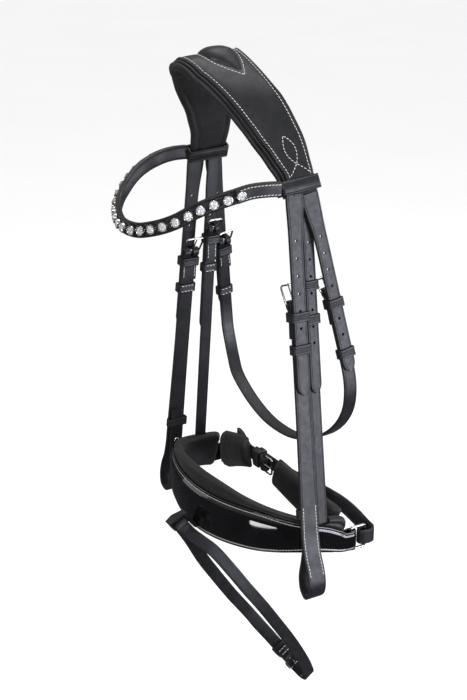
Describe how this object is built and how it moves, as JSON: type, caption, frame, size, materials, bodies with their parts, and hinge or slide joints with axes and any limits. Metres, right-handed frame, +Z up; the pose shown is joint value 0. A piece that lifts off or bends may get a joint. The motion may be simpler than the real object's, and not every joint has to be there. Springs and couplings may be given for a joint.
{
  "type": "snaffle bridle",
  "caption": "Black leather snaffle bridle with padded headpiece, crystal browband, padded patent crank noseband, flash strap and throatlatch.",
  "frame": {"origin": "underside of the padded headpiece at the middle of the poll", "axes": "+Z up, -Y towards the horse's nose (the way it faces), +X towards the horse's left side"},
  "size_m": [0.2598, 0.1993, 0.6304],
  "materials": {
    "leather": "satin black bridle leather, waxed edges",
    "padding": "soft matt black padded leather",
    "patent": "high gloss black patent leather",
    "metal": "polished nickel plate",
    "crystal": "clear faceted crystal in a bright metal setting"
  },
  "bodies": {
    "bridle": {"headpiece_leather": "leather", "headpiece_padding": "padding", "poll_pad": "leather", "browband": "leather", "crystal_chain": "crystal", "noseband_patent": "patent", "noseband_padding": "padding", "noseband_ring_left": "metal", "noseband_ring_right": "metal", "flash_loop": "leather", "hanger_billet_left": "leather", "hanger_strap_left": "leather", "hanger_buckle_left": "metal", "hanger_upper_keeper_left": "leather", "hanger_billet_right": "leather", "hanger_strap_right": "leather", "hanger_buckle_right": "metal", "hanger_upper_keeper_right": "leather"},
    "cheek_left": {"cheek_billet_left": "leather", "cheek_strap_left": "leather", "cheek_buckle_left": "metal", "cheek_upper_keeper_left": "leather", "cheek_stud_left": "metal", "cheek_bit_keeper_left": "leather"},
    "cheek_right": {"cheek_billet_right": "leather", "cheek_strap_right": "leather", "cheek_buckle_right": "metal", "cheek_upper_keeper_right": "leather", "cheek_stud_right": "metal", "cheek_bit_keeper_right": "leather"},
    "throatlatch": {"throatlatch_strap": "leather", "throat_billet_left": "leather", "throat_buckle_left": "metal", "throat_upper_keeper_left": "leather", "throat_billet_right": "leather", "throat_buckle_right": "metal", "throat_upper_keeper_right": "leather"},
    "jaw_strap": {"jaw_billet": "leather", "jaw_strap": "leather", "jaw_buckle": "metal", "jaw_pad_left": "padding", "jaw_pad_right": "padding"},
    "flash_strap": {"flash_strap": "leather", "flash_buckle": "metal"},
    "cheek_tongue_left": {"cheek_tongue_left": "metal"},
    "cheek_keeper_left": {"cheek_lower_keeper_left": "leather"},
    "cheek_tongue_right": {"cheek_tongue_right": "metal"},
    "cheek_keeper_right": {"cheek_lower_keeper_right": "leather"},
    "hanger_tongue_left": {"hanger_tongue_left": "metal"},
    "hanger_keeper_left": {"hanger_lower_keeper_left": "leather"},
    "hanger_tongue_right": {"hanger_tongue_right": "metal"},
    "hanger_keeper_right": {"hanger_lower_keeper_right": "leather"},
    "throat_tongue_left": {"throat_tongue_left": "metal"},
    "throat_keeper_left": {"throat_lower_keeper_left": "leather"},
    "throat_tongue_right": {"throat_tongue_right": "metal"},
    "throat_keeper_right": {"throat_lower_keeper_right": "leather"},
    "jaw_tongue": {"jaw_tongue": "metal"},
    "jaw_keeper": {"jaw_keeper": "leather"},
    "flash_tongue": {"flash_tongue": "metal"},
    "flash_keeper": {"flash_keeper": "leather"}
  },
  "joints": [
    {"name": "cheek_left_swing", "type": "hinge", "parent": "bridle", "child": "cheek_left", "pos_m": [0.0775, 0.028, -0.094], "axis": [0, -1, 0], "range_deg": [0, 35]},
    {"name": "cheek_right_swing", "type": "hinge", "parent": "bridle", "child": "cheek_right", "pos_m": [-0.0775, 0.028, -0.094], "axis": [0, 1, 0], "range_deg": [0, 35]},
    {"name": "throatlatch_swing", "type": "hinge", "parent": "bridle", "child": "throatlatch", "pos_m": [0, 0.0482, -0.10091], "axis": [1, 0, 0], "range_deg": [0, 60]},
    {"name": "jaw_strap_swing", "type": "hinge", "parent": "bridle", "child": "jaw_strap", "pos_m": [0, 0.0895, -0.398], "axis": [1, 0, 0], "range_deg": [-20, 3]},
    {"name": "flash_strap_swing", "type": "hinge", "parent": "bridle", "child": "flash_strap", "pos_m": [0, -0.03815, -0.39622], "axis": [1, 0, 0], "range_deg": [-30, 0]},
    {"name": "cheek_tongue_left_hinge", "type": "hinge", "parent": "cheek_left", "child": "cheek_tongue_left", "pos_m": [0.08465, 0.02685, -0.17986], "axis": [0, -0.9999, 0.0134], "range_deg": [0, 75]},
    {"name": "cheek_keeper_left_slide", "type": "slide", "parent": "cheek_left", "child": "cheek_keeper_left", "axis": [-0.1453, 0.0132, 0.9893], "range_m": [-0.034, 0.003]},
    {"name": "cheek_tongue_right_hinge", "type": "hinge", "parent": "cheek_right", "child": "cheek_tongue_right", "pos_m": [-0.08465, 0.02685, -0.17986], "axis": [0, 0.9999, -0.0134], "range_deg": [0, 75]},
    {"name": "cheek_keeper_right_slide", "type": "slide", "parent": "cheek_right", "child": "cheek_keeper_right", "axis": [0.1453, 0.0132, 0.9893], "range_m": [-0.034, 0.003]},
    {"name": "hanger_tongue_left_hinge", "type": "hinge", "parent": "bridle", "child": "hanger_tongue_left", "pos_m": [0.07408, 0.04388, -0.15819], "axis": [0, -1, -0.0074], "range_deg": [0, 75]},
    {"name": "hanger_keeper_left_slide", "type": "slide", "parent": "bridle", "child": "hanger_keeper_left", "axis": [-0.1179, -0.0074, 0.993], "range_m": [-0.045, 0.003]},
    {"name": "hanger_tongue_right_hinge", "type": "hinge", "parent": "bridle", "child": "hanger_tongue_right", "pos_m": [-0.07408, 0.04388, -0.15819], "axis": [0, 1, 0.0074], "range_deg": [0, 75]},
    {"name": "hanger_keeper_right_slide", "type": "slide", "parent": "bridle", "child": "hanger_keeper_right", "axis": [0.1179, -0.0074, 0.993], "range_m": [-0.045, 0.003]},
    {"name": "throat_tongue_left_hinge", "type": "hinge", "parent": "throatlatch", "child": "throat_tongue_left", "pos_m": [0.08333, 0.06074, -0.17466], "axis": [0, -0.9858, -0.1677], "range_deg": [0, 75]},
    {"name": "throat_keeper_left_slide", "type": "slide", "parent": "throatlatch", "child": "throat_keeper_left", "axis": [-0.1725, -0.1652, 0.9711], "range_m": [-0.006, 0.018]},
    {"name": "throat_tongue_right_hinge", "type": "hinge", "parent": "throatlatch", "child": "throat_tongue_right", "pos_m": [-0.08333, 0.06074, -0.17466], "axis": [0, 0.9858, 0.1677], "range_deg": [0, 75]},
    {"name": "throat_keeper_right_slide", "type": "slide", "parent": "throatlatch", "child": "throat_keeper_right", "axis": [0.1725, -0.1652, 0.9711], "range_m": [-0.006, 0.018]},
    {"name": "jaw_tongue_hinge", "type": "hinge", "parent": "jaw_strap", "child": "jaw_tongue", "pos_m": [0.004, 0.0516, -0.361], "axis": [0, 0, -1], "range_deg": [0, 75]},
    {"name": "jaw_keeper_slide", "type": "slide", "parent": "jaw_strap", "child": "jaw_keeper", "axis": [1, 0, 0], "range_m": [-0.005, 0.002]},
    {"name": "flash_tongue_hinge", "type": "hinge", "parent": "flash_strap", "child": "flash_tongue", "pos_m": [-0.0075, 0.09033, -0.58627], "axis": [0, -0.821, -0.5709], "range_deg": [0, 75]},
    {"name": "flash_keeper_slide", "type": "slide", "parent": "flash_strap", "child": "flash_keeper", "axis": [0.1662, 0.563, -0.8096], "range_m": [-0.025, 0.001]}
  ]
}
